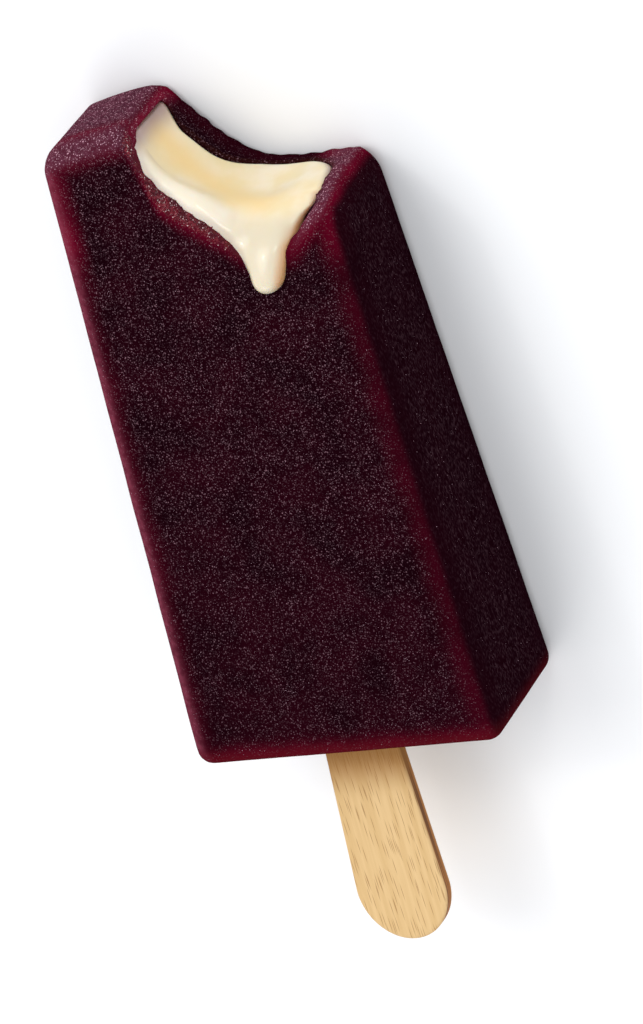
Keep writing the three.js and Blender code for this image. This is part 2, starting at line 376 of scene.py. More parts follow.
def new_material(name, **steady):
    """A material with the shader's steady values set, and its wires to build on."""
    material = bpy.data.materials.new(name)
    material.use_nodes = True
    tree = material.node_tree
    shader = tree.nodes.get("Principled BSDF")
    for key, value in steady.items():
        shader.inputs[key.replace("_", " ")].default_value = value
    return material, Wire(tree), shader


def feed(wires, shader, **varying):
    """Links what varies over a surface to the shader's sockets."""
    for key, value in varying.items():
        wires.tree.links.new(value.socket, shader.inputs[key.replace("_", " ")])


ICE_DARK = colour(21, 2, 8)
ICE_BODY = colour(33, 3, 12)
ICE_PAINTED_GLOW = colour(150, 9, 48)
ICE_RIME_AND_EDGE_LIGHT = colour(136, 62, 80)
ICE_BLOOM_AND_SHEEN = colour(92, 45, 61)
ICE_MELT = colour(66, 7, 20)
ICE_BROWN = colour(80, 28, 22)
ICE_STAIN = colour(74, 34, 18)
ICE_FOOT_GLOW = colour(84, 16, 20)
ICE_SHADE = colour(22, 3, 10)
ICE_FROST = colour(216, 164, 180)
FROST_GRAIN = 0.28 * MM
DRAWN_GRAIN = 0.22 * MM
FROST_CLUMP = 0.95 * MM
CLOUD = 7 * MM
END_SKIN = -1.4, -0.4
CORE_MOUTH = 0.6, 0.2
SMOOTH_RAMP, SMOOTH_RAMP_ACROSS = 0.75, (-5, -7)
EDGE_REACH = 5.6, 1.3
GLOW_LEAST, GLOW_MORE, GLOW_LEFT = 0.08, 0.37, 0.11
GLOW_TO_TIP, GLOW_TO_FOOT, GLOW_TO_LEFT = (74, 87), (4.5, 0.5), (-6, -3)
GLOW_AT_FOOT = 0.5
DULL_RIGHT, DULL_TO_RIGHT = 0.95, (-1.5, -0.5)
RIDGE_RUN, RIDGE_THROUGH, RIDGE_GLOW = 1.6, (2, 5), 0.4
RAMP_ACROSS, RAMP_THROUGH, RAMP_GLOW, RAMP_BLOOM = (-5.5, -7.5), (1, 3), 0.5, 0.35
STRIP_LEFT, STRIP_RIGHT, STRIP_THROUGH, STRIP_DULL = (-7.5, -5.5), (12, 17), (10, 7), 0.9
MELT_THROUGH, MELT_DEPTH = (16.5, 18.5), (-3.0, -1.4)
MELT_LEFT, MELT_RIGHT = (-9, -6.5), (8, 12)
BLOOM_DEPTH, BLOOM_DULL = (-3.4, -0.8), 0.6
GAP_FROM_FRONT, GAP_RUN, GAP_IN_BLOOM, GAP_GLOW = 3.6, 1.5, 0.6, 0.2
HUMP_ALONG, HUMP_DULL = (84, 90), 0.35
CREST_DEPTH, CREST_RUN, CREST_ALONG = 1.7, 1.2, (92, 96)
SHOULDER_DEPTH, SHOULDER_FROM_X, SHOULDER_END = (-2.6, -0.6), (13, 18), (-2.6, -1.4)
RIME_REACH, RIME_TO_LEFT = (3.6, 0.8), (-3.5, -1.2)
FOOT_ALONG = 4.0, 0.5
STAIN_REACH, STAIN_ALONG, STAIN_LESS_BEHIND = (0.6, 0.15), (98.4, 97.2), 0.5
RIGHT_FACE = -1.6, -0.4
SPECK_DISC = 0.5, 0.12
SPECK_LEAST, SPECK_MOST = 0.03, 0.38
SPECK_AT_STICK, SPECK_ALONG = 0.76, (-45 * MM, 20 * MM)
SPECK_IN_GAPS, GAPS = 0.55, (0.3, 0.65)
SPECK_OFF_EDGE, SPECK_IN_BLOOM, SPECK_OFF_WET = 0.7, 3, 0.75
DRAWN_STRETCH, DRAWN_RANGE, DRAWN_SHARE = 0.32, (0.46, 0.74), 0.05
CLOUDY = 0.3, 0.7
GLOW_DIMMED = 0.7
RIME_SHARE, RIME_CLUMPS = 0.4, 0.4
BLOOM_SHARE, BLOOM_CLUMPS, BLOOM_RANGE = 0.5, 0.4, (0.35, 0.65)
MELT_RANGE = 0.45, 0.6
SHADE_SHARE, FOOT_SHARE, MELT_SHARE, STAIN_SHARE = 0.8, 0.6, 0.85, 0.4
DRY_ROUGHNESS, WET_SMOOTHER, WET_COAT = 0.62, 0.4, 0.5
SPECK_HEIGHT, GRAIN_STRENGTH, GRAIN_DEPTH = 0.6, 0.6, 0.16 * MM

below = np.arange(ICE_START, FINE_FROM, ICE_CELL_ALONG)
above = np.arange(below[-1] + FINE_CELL, BLOCK_LENGTH + ICE_MARGIN, FINE_CELL)
ice_points, ice_faces = skin(ice_field, np.arange(*ICE_SPAN_X, ICE_CELL),
                             np.concatenate([below, above]), np.arange(*ICE_SPAN_Z, ICE_CELL))
x, y, z = ice_points.T
outward = slope_of(ice_field, ice_points)
outward /= np.maximum(np.linalg.norm(outward, axis=1), FLAT_SLOPE)[:, None]
below_end = y - ice_end(x, z)
on_tip = 1 - bitten(x, z)
on_end = smooth(below_end, *END_SKIN)
on_bite = on_end * bitten(x, z)
outside = 1 - smooth(core_sides(x, y, z), *CORE_MOUTH)
rough_bite = on_bite * (1 - SMOOTH_RAMP * smooth(x, *SMOOTH_RAMP_ACROSS))
relief = FACE_RELIEF * wavy(ice_points, FACE_WAVE) * (1 - on_bite)
relief += BITE_RELIEF * (wavy(ice_points, BITE_WAVE) - BITE_LEVEL) * rough_bite
ice_points = keep_inside(ice_points + outward * (relief * outside)[:, None])

# The marks say where the ice is thin, melting or under more frost, and where glow, sheen,
# highlight and shade are painted into its colour, from 0 to 1 at each point.
past_left, past_right = -x - half_width(y), x - half_width(y)
from_front = front_face(y) - z
depths = np.sort(np.stack([half_width(y) - np.abs(x), from_front, z, ice_end(x, z) - y, y]),
                 axis=0)
edge = smooth(depths[0] + depths[1], *EDGE_REACH) * outside
# Painted glow: the crimson of light through the thin edges is painted into the colour, most at the
# tip and the foot, a little on the lit left edge, and dimmed on the shaded right face.
ends_glow = np.maximum(smooth(y, *GLOW_TO_TIP), GLOW_AT_FOOT * smooth(y, *GLOW_TO_FOOT))
painted_glow = edge * (GLOW_LEAST + GLOW_MORE * ends_glow)
painted_glow = np.maximum(painted_glow, GLOW_LEFT * edge * smooth(past_left, *GLOW_TO_LEFT))
painted_glow *= 1 - DULL_RIGHT * smooth(past_right, *DULL_TO_RIGHT)
# The ridge where the bite meets the tip, and the left ramp of the bite, get painted glow too.
hump_ridge = np.exp(-((tip_dome(x) - bite_height(x, z)) / RIDGE_RUN) ** 2)
hump_ridge *= on_end * smooth(z, *RIDGE_THROUGH)
left_ramp = on_bite * smooth(x, *RAMP_ACROSS) * smooth(z, *RAMP_THROUGH)
painted_glow = np.maximum(painted_glow, np.maximum(RIDGE_GLOW * hump_ridge, RAMP_GLOW * left_ramp))
# Painted shade on the strip of bitten wall behind the cream, which also loses its glow.
shaded_back_strip = on_bite * smooth(x, *STRIP_LEFT) * (1 - smooth(x, *STRIP_RIGHT))
shaded_back_strip *= smooth(z, *STRIP_THROUGH)
painted_glow *= 1 - STRIP_DULL * shaded_back_strip
lip_melt = smooth(z, *MELT_THROUGH) * smooth(below_end, *MELT_DEPTH) * bitten(x, z)
lip_melt *= smooth(x, *MELT_LEFT) * (1 - smooth(x, *MELT_RIGHT))
# The tip's frost carries a painted sheen, less of it in a band near the front face, where painted
# glow shows instead.
bloom_gap = np.exp(-((from_front - GAP_FROM_FRONT) / GAP_RUN) ** 2) * on_tip
tip_bloom_and_sheen = smooth(below_end, *BLOOM_DEPTH) * on_tip * (1 - GAP_IN_BLOOM * bloom_gap)
painted_glow *= (1 - BLOOM_DULL * tip_bloom_and_sheen) * (1 - HUMP_DULL * smooth(y, *HUMP_ALONG) * on_tip)
painted_glow += GAP_GLOW * bloom_gap * on_end
# A painted highlight on the rounded edge between the tip and the front face.
crest_highlight = np.exp(-((from_front + below_end + CREST_DEPTH) / CREST_RUN) ** 2) * edge
crest_highlight *= smooth(y, *CREST_ALONG) * (1 - on_bite)
# Frost on the right shoulder, with a painted sheen.
shoulder_bloom_and_sheen = smooth(below_end, *SHOULDER_DEPTH) * bitten(x, z)
shoulder_bloom_and_sheen *= smooth(x, *SHOULDER_FROM_X) * (1 - smooth(past_right, *SHOULDER_END))
# Rime on the left edges, lightened further as painted light on the side that faces the lamp.
rime_and_edge_light = smooth(depths[0] + depths[1], *RIME_REACH) * smooth(past_left, *RIME_TO_LEFT) * outside
stain = smooth(core_sides(x, y, z), *STAIN_REACH) * on_bite * smooth(y, *STAIN_ALONG)
marks = {"painted_glow": painted_glow, "rime_and_edge_light": rime_and_edge_light, "edge": edge, "melt": lip_melt, "bite": shaded_back_strip,
         "foot": smooth(y, *FOOT_ALONG) * edge,
         "bloom_and_sheen": np.maximum.reduce([tip_bloom_and_sheen, crest_highlight, shoulder_bloom_and_sheen, RAMP_BLOOM * left_ramp]),
         "stain": stain * (1 - STAIN_LESS_BEHIND * shaded_back_strip),
         "right": smooth(past_right, *RIGHT_FACE)}
ice_block = make_piece("ice_block_frosted", ice_points, ice_faces, marks)

ice_material, wires, shader = new_material("fruit_ice", IOR=1.31, Specular_IOR_Level=0.0,
                                           Coat_IOR=1.33, Coat_Roughness=0.08)
place = wires.add("TexCoord", output="Object")
along = wires.add("SeparateXYZ", {}, {"Vector": place}, "Y")
mark = {m: wires.add("Attribute", {"attribute_name": m}, output="Fac") for m in marks}
grain = wires.add("TexVoronoi", {}, {"Vector": place, "Scale": 1 / FROST_GRAIN})
grain_random = wires.add("TexWhiteNoise", {}, {"Vector": wires.add(
    "TexVoronoi", {}, {"Vector": place, "Scale": 1 / FROST_GRAIN}, "Position")})
drawn_place = wires.add("VectorMath", {"operation": "MULTIPLY"},
                        {0: place, 1: (1, DRAWN_STRETCH, 1)})
drawn = wires.add("TexNoise", {}, {"Vector": drawn_place, "Scale": 1 / DRAWN_GRAIN,
                                   "Detail": 1.0})
clump = wires.add("TexNoise", {}, {"Vector": place, "Scale": 1 / FROST_CLUMP, "Detail": 3.0})
cloud = wires.add("TexNoise", {}, {"Vector": place, "Scale": 1 / CLOUD, "Detail": 4.0})

# Frost stands as fine specks of uneven brightness. It thins out towards the stick and on the
# thin edges, is drawn out along the right face, and is thickest in the bloom.
uneven = SPECK_LEAST + SPECK_MOST * grain_random * grain_random * grain_random
speck = grain.between(*SPECK_DISC) * uneven
speck = speck * (SPECK_AT_STICK + (1 - SPECK_AT_STICK) * along.between(*SPECK_ALONG))
drawn_speck = drawn.between(*DRAWN_RANGE) * DRAWN_SHARE
speck = speck * (1 - mark["right"]) + drawn_speck * mark["right"]
speck = speck * (SPECK_IN_GAPS + (1 - SPECK_IN_GAPS) * clump.between(*GAPS))
speck = speck * (1 - SPECK_OFF_EDGE * mark["edge"] * (1 - mark["bloom_and_sheen"]))
speck = speck * (1 + SPECK_IN_BLOOM * mark["bloom_and_sheen"])
glow_share = mark["painted_glow"] * (GLOW_DIMMED + (1 - GLOW_DIMMED) * cloud.between(*CLOUDY))
rime_and_light_share = mark["rime_and_edge_light"] * (RIME_SHARE + RIME_CLUMPS * clump.between(*CLOUDY))
bloom_and_sheen_share = mark["bloom_and_sheen"] * (BLOOM_SHARE + BLOOM_CLUMPS * clump.between(*BLOOM_RANGE))
body = blend(wires, ICE_DARK, ICE_BODY, cloud.between(*CLOUDY))
# Painted shade on the right face, away from the lamp, and on the strip behind the cream.
body = blend(wires, body, ICE_SHADE, mark["right"] * SHADE_SHARE + mark["bite"] * SHADE_SHARE)
# Painted glow on the thin edges, the ridge and the ramp.
body = blend(wires, body, ICE_PAINTED_GLOW, glow_share)
# Rime, with painted light on the lit left edges.
body = blend(wires, body, ICE_RIME_AND_EDGE_LIGHT, rime_and_light_share)
# Frost with its painted sheen on the tip, the shoulder and the left ramp.
body = blend(wires, body, ICE_BLOOM_AND_SHEEN, bloom_and_sheen_share)
# Painted glow along the edges at the foot of the block.
body = blend(wires, body, ICE_FOOT_GLOW, mark["foot"] * FOOT_SHARE)
melt_tint = blend(wires, ICE_MELT, ICE_BROWN, clump.between(*MELT_RANGE))
body = blend(wires, body, melt_tint, mark["melt"] * MELT_SHARE)
body = blend(wires, body, ICE_STAIN, mark["stain"] * STAIN_SHARE)
body = blend(wires, body, ICE_FROST, speck * (1 - SPECK_OFF_WET * mark["melt"]))
rough = DRY_ROUGHNESS - WET_SMOOTHER * mark["melt"]
bump = wires.add("Bump", {}, {"Strength": GRAIN_STRENGTH, "Distance": GRAIN_DEPTH,
                              "Height": clump + SPECK_HEIGHT * speck})
feed(wires, shader, Base_Color=body, Roughness=rough, Normal=bump,
     Coat_Weight=mark["melt"] * WET_COAT)
ice_block.data.materials.append(ice_material)
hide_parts("ice_block")
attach(ice_block, "root")

# ----------------------------------------------------------------- the filling of cream
# Sweet cream, cast in the middle of the block. It is soft where the bite has opened it: its
# surface has sagged to a shallow trough, a roll of it lies on the front lip, and one drip has
# run down the front face.
CREAM_SAG = 1.2
CREAM_SAG_Z = 9.5
CREAM_SAG_RUN = 3.8
SAG_LOSS, SAG_LOSS_ACROSS = 0.9, (8.0, 15.0)
CREAM_EDGE_RADIUS = 1.0
LIP_FLOW_RADIUS, LIP_FLOW_THROUGH = 2.2, (12, 18)
RIGHT_FLOW_RADIUS = 1.0
RIGHT_FLOW_ACROSS, RIGHT_FLOW_THROUGH = (10, 14), (11, 15)
ROLL_HEIGHT = 1.7
ROLL_Z = 17.0
ROLL_RUN = 2.6
ROLL_FADE_ACROSS = 0.0, 6.0
ROLL_LEFT = -7.3
ROLL_RIGHT = 16.0
ROLL_BACK = 12.0
ROLL_INSET = 0.6
ROLL_INSET_LEFT, INSET_ACROSS, INSET_ALONG = 0.7, (1, -4), (94, 91)
ROLL_TAPER_FROM = 9.0
ROLL_TAPER = 0.4
ROLL_RADIUS, ROLL_LEFT_RADIUS, LEFT_RADIUS_ACROSS = 1.9, 1.5, (0, -4)
ROLL_BLEND, ROLL_BLEND_LEFT, LEFT_BLEND_ACROSS = 1.0, 2.2, (-1, -4)
ROLL_DEPTH = 3.0
SPOUT_X = 10.6
SPOUT_HALF_WIDTH = 6.6
SPOUT_DEPTH = 5.2
SPOUT_BACK, SPOUT_FRONT = 8.0, 20.5
SPOUT_POWER = 2.5
DRIP_TIP_Y = 73.8
DRIP_TIP_X = 9.0
DRIP_TOP_Y = 87.4
DRIP_TOP_X = 11.9
DRIP_BULB_RADIUS = 2.5
DRIP_FLARE = 6.6
DRIP_FLARE_POWER = 2.3
DRIP_STANDS_OUT = 2.4
DRIP_SINK, DRIP_SUNK = 5.0, (0, 0.6)
CREAM_BLEND = 2.2
CREAM_BLEND_RIGHT, BLEND_ACROSS = 3.0, (9.5, 12.5)
BLEND_FROM, BLEND_TO = (78.5, 81.5), (87, 84)
CREAM_CELL = 0.38
CREAM_CELL_ALONG = 1.8
CREAM_SPAN_X, CREAM_SPAN_Z = (-20.6, 20.7), (2.2, 24.5)
CREAM_START, CREAM_MARGIN = 1.5, 2


def cream_end(x, z):
    """The open surface of the cream: a trough, a roll on the front lip, and a spout."""
    sag = CREAM_SAG * np.exp(-((z - CREAM_SAG_Z) / CREAM_SAG_RUN) ** 2)
    sag *= 1 - SAG_LOSS * smooth(x, *SAG_LOSS_ACROSS)
    roll = ROLL_HEIGHT * np.exp(-((z - ROLL_Z) / ROLL_RUN) ** 2)
    roll *= 1 - smooth(x, *ROLL_FADE_ACROSS)
    spout = SPOUT_DEPTH * flat_bump(x, SPOUT_X, SPOUT_HALF_WIDTH)
    spout *= (np.maximum(z - SPOUT_BACK, 0) / (SPOUT_FRONT - SPOUT_BACK)) ** SPOUT_POWER
    return soft_min(CORE_END, bite_height(x, z) - sag + roll - spout, HUMP_ROUNDING)


def melt_together(a, b, run):
    """The union of two forms, with a soft fillet where they meet."""
    near = np.maximum(run - np.abs(a - b), 0) / run
    return np.minimum(a, b) - near ** 2 * run / 4


def drip_field(x, y, z):
    """The drip: a round-ended run that flares and sinks into the cream at its top."""
    t = np.clip((DRIP_TOP_Y - y) / (DRIP_TOP_Y - DRIP_TIP_Y), 0, 1)
    middle = DRIP_TOP_X + (DRIP_TIP_X - DRIP_TOP_X) * t
    wide = DRIP_BULB_RADIUS + DRIP_FLARE * (1 - t) ** DRIP_FLARE_POWER
    sunk = DRIP_SINK * (1 - smooth(t, *DRIP_SUNK)) ** 2
    across = (x - middle) / wide
    through = (z - front_face(y) + sunk) / DRIP_STANDS_OUT
    beyond = np.maximum(DRIP_TIP_Y + DRIP_BULB_RADIUS - y, 0) / DRIP_BULB_RADIUS
    above = np.maximum(y - DRIP_TOP_Y, 0) / DRIP_BULB_RADIUS
    return (np.sqrt(across ** 2 + through ** 2 + beyond ** 2 + above ** 2) - 1) * DRIP_STANDS_OUT


def cream_field(x, y, z):
    """Below 0 inside the cream: the core, the roll on the lip and the drip, under one sheet."""
    core = np.maximum(core_sides(x, y, z), CORE_START - y)
    left = ROLL_LEFT - x
    right = SPILL_SLANT * (x - np.minimum(ROLL_RIGHT, spill_edge(y)))
    inset = ROLL_INSET + ROLL_TAPER * np.maximum(x - ROLL_TAPER_FROM, 0)
    inset += ROLL_INSET_LEFT * smooth(x, *INSET_ACROSS) * smooth(y, *INSET_ALONG)
    to_left = smooth(x, *LEFT_RADIUS_ACROSS)
    roll = round_edge(np.maximum(left, right),
                      np.maximum(ROLL_BACK - z, z - front_face(y) + inset),
                      ROLL_RADIUS + (ROLL_LEFT_RADIUS - ROLL_RADIUS) * to_left)
    roll = np.maximum(roll, bite_height(x, z) - notch_depth(x, z) - ROLL_DEPTH - y)
    roll_run = ROLL_BLEND + (ROLL_BLEND_LEFT - ROLL_BLEND) * smooth(x, *LEFT_BLEND_ACROSS)
    to_right = smooth(x, *BLEND_ACROSS) * smooth(y, *BLEND_FROM) * smooth(y, *BLEND_TO)
    drip_run = CREAM_BLEND + CREAM_BLEND_RIGHT * to_right
    form = melt_together(melt_together(core, roll, roll_run), drip_field(x, y, z), drip_run)
    end = (y - cream_end(x, z)) / steepness(cream_end, x, z)
    to_lip = smooth(z, *LIP_FLOW_THROUGH)
    radius = CREAM_EDGE_RADIUS + (LIP_FLOW_RADIUS - CREAM_EDGE_RADIUS) * to_lip
    radius += RIGHT_FLOW_RADIUS * smooth(x, *RIGHT_FLOW_ACROSS) * smooth(z, *RIGHT_FLOW_THROUGH)
    return round_edge(form, end, radius)


CREAM_BODY = colour(232, 213, 167)
CREAM_TROUGH_SHADE = colour(238, 206, 138)
CREAM_PALE = colour(240, 232, 217)
CREAM_DRIP_SHADE = colour(219, 207, 180)
CREAM_ICY = colour(150, 119, 117)
CREAM_WARM_SHADE = colour(214, 150, 84)
CREAM_RIM_HIGHLIGHT = colour(255, 236, 208)
CREAM_CLOUD, CREAM_CLOUDY, CLOUD_SHARE = 5 * MM, (0.35, 0.7), 0.5
CREAM_RIPPLE, RIPPLE_STRENGTH, RIPPLE_DEPTH = 2.4 * MM, 0.12, 0.3 * MM
CREAM_ROUGHNESS, CLOUD_ROUGHER = 0.34, 0.08
TROUGH_SHARE, PALE_SHARE, DRIP_SHARE = 0.9, 0.7, 0.9
WARM_SHARE, ICY_SHARE, RIM_SHARE = 0.8, 0.9, 0.7
OPEN_TOP = -2.5, -0.5
TROUGH_Z = 11.3
TROUGH_SLANT, TROUGH_SPAN = 0.27, (-9, 8)
TROUGH_RUN = 3.0
TROUGH_LOSS, TROUGH_LOSS_ACROSS = 0.8, (8, 13)
PALE_THROUGH, PALE_ACROSS = (14.5, 17.5), (8, 4)
DRIP_ALONG, DRIP_THROUGH = (86, 82), (15, 18)
THIN_REACH, THIN_THROUGH = (0.7, 0.15), (9, 13)
WARM_FACING, WARM_THROUGH, WARM_ACROSS = (0.3, 0.85), (12, 16), (4, 7)
WARM_THIN, WARM_THIN_ACROSS = 0.45, (6, 10)
CORNER_REACH, CORNER_ACROSS, CORNER_THROUGH = (-1.4, -0.1), (13, 17), (12, 8)
ICY_ALONG, ICY_THIN, ICY_THIN_ACROSS = (93.5, 98.2), 0.35, (10, 6)
RIM_REACH, RIM_ACROSS, RIM_THROUGH = (-0.75, -0.3), (-9, -3), (8, 5)

below = np.arange(CORE_START - CREAM_START, FINE_FROM - CREAM_MARGIN, CREAM_CELL_ALONG)
above = np.arange(below[-1] + CREAM_CELL, CORE_END + CREAM_MARGIN, CREAM_CELL)
points, faces = skin(cream_field, np.arange(*CREAM_SPAN_X, CREAM_CELL),
                     np.concatenate([below, above]), np.arange(*CREAM_SPAN_Z, CREAM_CELL))
x, y, z = points.T
open_top = smooth(y - cream_end(x, z), *OPEN_TOP)
from_wall = core_sides(x, y, z)
trough = np.exp(-((z - TROUGH_Z - TROUGH_SLANT * np.clip(x, *TROUGH_SPAN)) / TROUGH_RUN) ** 2)
slope = slope_of(cream_field, points)
facing_right = slope[:, 0] / np.maximum(np.linalg.norm(slope, axis=1), FLAT_SLOPE)
thin = smooth(ice_field(x, y, z), *THIN_REACH) * smooth(z, *THIN_THROUGH)
# Painted warm shade on the cream turned right, away from the lamp, and along its thin border.
warm_shade = smooth(facing_right, *WARM_FACING) * smooth(z, *WARM_THROUGH) * smooth(x, *WARM_ACROSS)
right_corner = smooth(from_wall, *CORNER_REACH) * open_top * smooth(x, *CORNER_ACROSS)
right_corner *= smooth(z, *CORNER_THROUGH)
marks = {"trough": trough * open_top * (1 - TROUGH_LOSS * smooth(x, *TROUGH_LOSS_ACROSS)),
         "pale": smooth(z, *PALE_THROUGH) * smooth(x, *PALE_ACROSS),
         "drip": smooth(y, *DRIP_ALONG) * smooth(z, *DRIP_THROUGH),
         "warm_shade": np.maximum(warm_shade, WARM_THIN * thin * smooth(x, *WARM_THIN_ACROSS)),
         "icy": np.maximum.reduce([right_corner, smooth(y, *ICY_ALONG) ** 2,
                                   ICY_THIN * thin * smooth(x, *ICY_THIN_ACROSS)]),
         "rim": smooth(from_wall, *RIM_REACH) * open_top * smooth(z, *RIM_THROUGH)
                * smooth(x, *RIM_ACROSS)}
cream_filling = make_piece("cream_filling_soft", points, faces, marks)

cream_material, wires, shader = new_material(
    "sweet_cream", IOR=1.45, Subsurface_Weight=0.35, Subsurface_Radius=(1.0, 0.62, 0.34),
    Subsurface_Scale=1.6 * MM, Coat_Weight=0.7, Coat_Roughness=0.16)
place = wires.add("TexCoord", output="Object")
mark = {m: wires.add("Attribute", {"attribute_name": m}, output="Fac") for m in marks}
cloud = wires.add("TexNoise", {}, {"Vector": place, "Scale": 1 / CREAM_CLOUD, "Detail": 3.0})
ripple = wires.add("TexNoise", {}, {"Vector": place, "Scale": 1 / CREAM_RIPPLE, "Detail": 2.0})
body = blend(wires, CREAM_BODY, CREAM_PALE, cloud.between(*CREAM_CLOUDY) * CLOUD_SHARE)
# Painted shade in the crease of the trough, a deeper yellow.
body = blend(wires, body, CREAM_TROUGH_SHADE, mark["trough"] * TROUGH_SHARE)
# Painted highlight on the roll of cream that lies on the front lip.
body = blend(wires, body, CREAM_PALE, mark["pale"] * PALE_SHARE)
# Painted shade on the drip: a darker copy of the cream, as the drip faces the lamps.
body = blend(wires, body, CREAM_DRIP_SHADE, mark["drip"] * DRIP_SHARE)
# Painted warm shade on the faces turned from the lamp and on the thin border.
body = blend(wires, body, CREAM_WARM_SHADE, mark["warm_shade"] * WARM_SHARE)
body = blend(wires, body, CREAM_ICY, mark["icy"] * ICY_SHARE)
# A painted highlight along the cream's back edge against the wall.
body = blend(wires, body, CREAM_RIM_HIGHLIGHT, mark["rim"] * RIM_SHARE)
rough = CREAM_ROUGHNESS + CLOUD_ROUGHER * cloud
bump = wires.add("Bump", {}, {"Strength": RIPPLE_STRENGTH, "Distance": RIPPLE_DEPTH,
                              "Height": ripple})
feed(wires, shader, Base_Color=body, Roughness=rough, Normal=bump)
cream_filling.data.materials.append(cream_material)
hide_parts("cream_filling")
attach(cream_filling, "root")

# -------------------------------------------------------- the frost and the wet crystals
# Loose crystals of the same ice. Fine dry ones stand all over the faces and catch the light, and
# coarse wet ones crowd along the front lip of the bite, where it melts under the cream.
FROST_COUNT = 15000
FROST_SMALLEST, FROST_LARGEST = 0.04, 0.09
FROST_GREY, FROST_WHITE = colour(84, 40, 54), colour(200, 164, 178)
FROST_TINT, FROST_TINTS = 0.6 * MM, (0.35, 0.75)
OPEN_AIR = 0.15, 0.45
LESS_ON_BITE, LESS_ON_EDGE, LESS_ON_RIGHT = 0.4, 0.7, 0.8
FROST_FROM_TABLE = 0.3, 1.5
BLOOM_CROWD, SHOULDER_CROWD = 1.6, 1.2
CROWD_AT_FOOT, CROWD_ALONG = 0.7, (10, 70)
LIP_COUNT = 1300
LIP_SMALLEST, LIP_LARGEST = 0.12, 0.4
LIP_DARK, LIP_RED, LIP_PAINTED_GLINT = colour(76, 10, 26), colour(118, 34, 46), colour(240, 212, 210)
LIP_TINT, LIP_TINTS = 0.9 * MM, (0.35, 0.65)
GLINT_SMALLER, GLINTS = 0.45, (0.7, 0.85)
GLINT_RANGE, GLINT_SHARE = (0.74, 0.9), 0.85
CRYSTAL_SINK = 0.3
CRYSTAL_THINNEST = 0.55
chance = np.random.default_rng(11)
OCTAHEDRON = np.array([(1, 0, 0), (-1, 0, 0), (0, 1, 0), (0, -1, 0), (0, 0, 1), (0, 0, -1)], float)
OCTAHEDRON_FACES = np.array([(0, 2, 4), (2, 1, 4), (1, 3, 4), (3, 0, 4),
                             (2, 0, 5), (1, 2, 5), (3, 1, 5), (0, 3, 5)])


def scatter(points, faces, share, count):
    """Random places spread evenly over the faces, kept in step with a share at each point."""
    corners = points[faces]
    diagonals = corners[:, 2] - corners[:, 0], corners[:, 3] - corners[:, 1]
    weight = np.linalg.norm(np.cross(*diagonals), axis=1) * share[faces].mean(1)
    pick = chance.choice(len(faces), count, p=weight / weight.sum())
    a, b = chance.random((2, count, 1))
    near = corners[pick, 0] * (1 - a) + corners[pick, 1] * a
    far = corners[pick, 3] * (1 - a) + corners[pick, 2] * a
    return near * (1 - b) + far * b, pick


def crystals(places, sizes):
    """One lopsided, randomly turned octahedron at each place."""
    turns = np.linalg.qr(chance.normal(size=(len(places), 3, 3)))[0]
    turns *= np.linalg.det(turns)[:, None, None]
    uneven = chance.uniform(CRYSTAL_THINNEST, 1.0, (len(places), 6, 1))
    shapes = OCTAHEDRON * uneven * sizes[:, None, None]
    corners = places[:, None] + shapes @ turns
    loops = OCTAHEDRON_FACES + 6 * np.arange(len(places))[:, None, None]
    return corners.reshape(-1, 3), loops.reshape(-1, 3)


x, y, z = ice_points.T
open_air = outside * smooth(cream_field(x, y, z), *OPEN_AIR)
dry = open_air * (1 - LESS_ON_BITE * on_bite) * (1 - lip_melt) * (1 - LESS_ON_EDGE * edge)
dry *= smooth(z, *FROST_FROM_TABLE)
crowded = BLOOM_CROWD * tip_bloom_and_sheen + BLOOM_CROWD * crest_highlight + SHOULDER_CROWD * shoulder_bloom_and_sheen
dry = np.maximum(dry, open_air * crowded)
dry *= ((1 - LESS_ON_RIGHT * smooth(x - half_width(y), *RIGHT_FACE))
        * (CROWD_AT_FOOT + (1 - CROWD_AT_FOOT) * smooth(y, *CROWD_ALONG)))
places, _ = scatter(ice_points, ice_faces, dry, FROST_COUNT)
sizes = FROST_SMALLEST + (FROST_LARGEST - FROST_SMALLEST) * chance.random(FROST_COUNT) ** 3
frost_points, frost_faces = crystals(places, sizes)
frost = make_piece("frost_crystals", keep_inside(frost_points), frost_faces)
frost.data.shade_flat()
frost_material, wires, shader = new_material("dry_frost", IOR=1.31, Specular_IOR_Level=0.5)
place = wires.add("TexCoord", output="Object")
tint = wires.add("TexNoise", {}, {"Vector": place, "Scale": 1 / FROST_TINT, "Detail": 1.0})
body = blend(wires, FROST_GREY, FROST_WHITE, tint.between(*FROST_TINTS))
feed(wires, shader, Base_Color=body, Roughness=0.35 + 0.2 * tint)
frost.data.materials.append(frost_material)
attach(frost, "root")

places, pick = scatter(ice_points, ice_faces, lip_melt * open_air, LIP_COUNT)
glint = chance.random(LIP_COUNT)
sizes = LIP_SMALLEST + (LIP_LARGEST - LIP_SMALLEST) * chance.random(LIP_COUNT) ** 2
sizes *= 1 - GLINT_SMALLER * smooth(glint, *GLINTS)
places -= outward[ice_faces[pick, 0]] * (sizes * CRYSTAL_SINK)[:, None]
wet_points, wet_faces = crystals(places, sizes)
wet = make_piece("lip_crystals", keep_inside(wet_points), wet_faces,
                 {"glint": np.repeat(glint, 6)})
wet.data.shade_flat()
wet_material, wires, shader = new_material("wet_fruit_ice", IOR=1.31, Coat_Weight=0.4,
                                           Coat_IOR=1.33, Coat_Roughness=0.05,
                                           Specular_IOR_Level=0.2)
place = wires.add("TexCoord", output="Object")
tint = wires.add("TexNoise", {}, {"Vector": place, "Scale": 1 / LIP_TINT, "Detail": 1.0})
glint = wires.add("Attribute", {"attribute_name": "glint"}, output="Fac")
body = blend(wires, LIP_DARK, LIP_RED, tint.between(*LIP_TINTS))
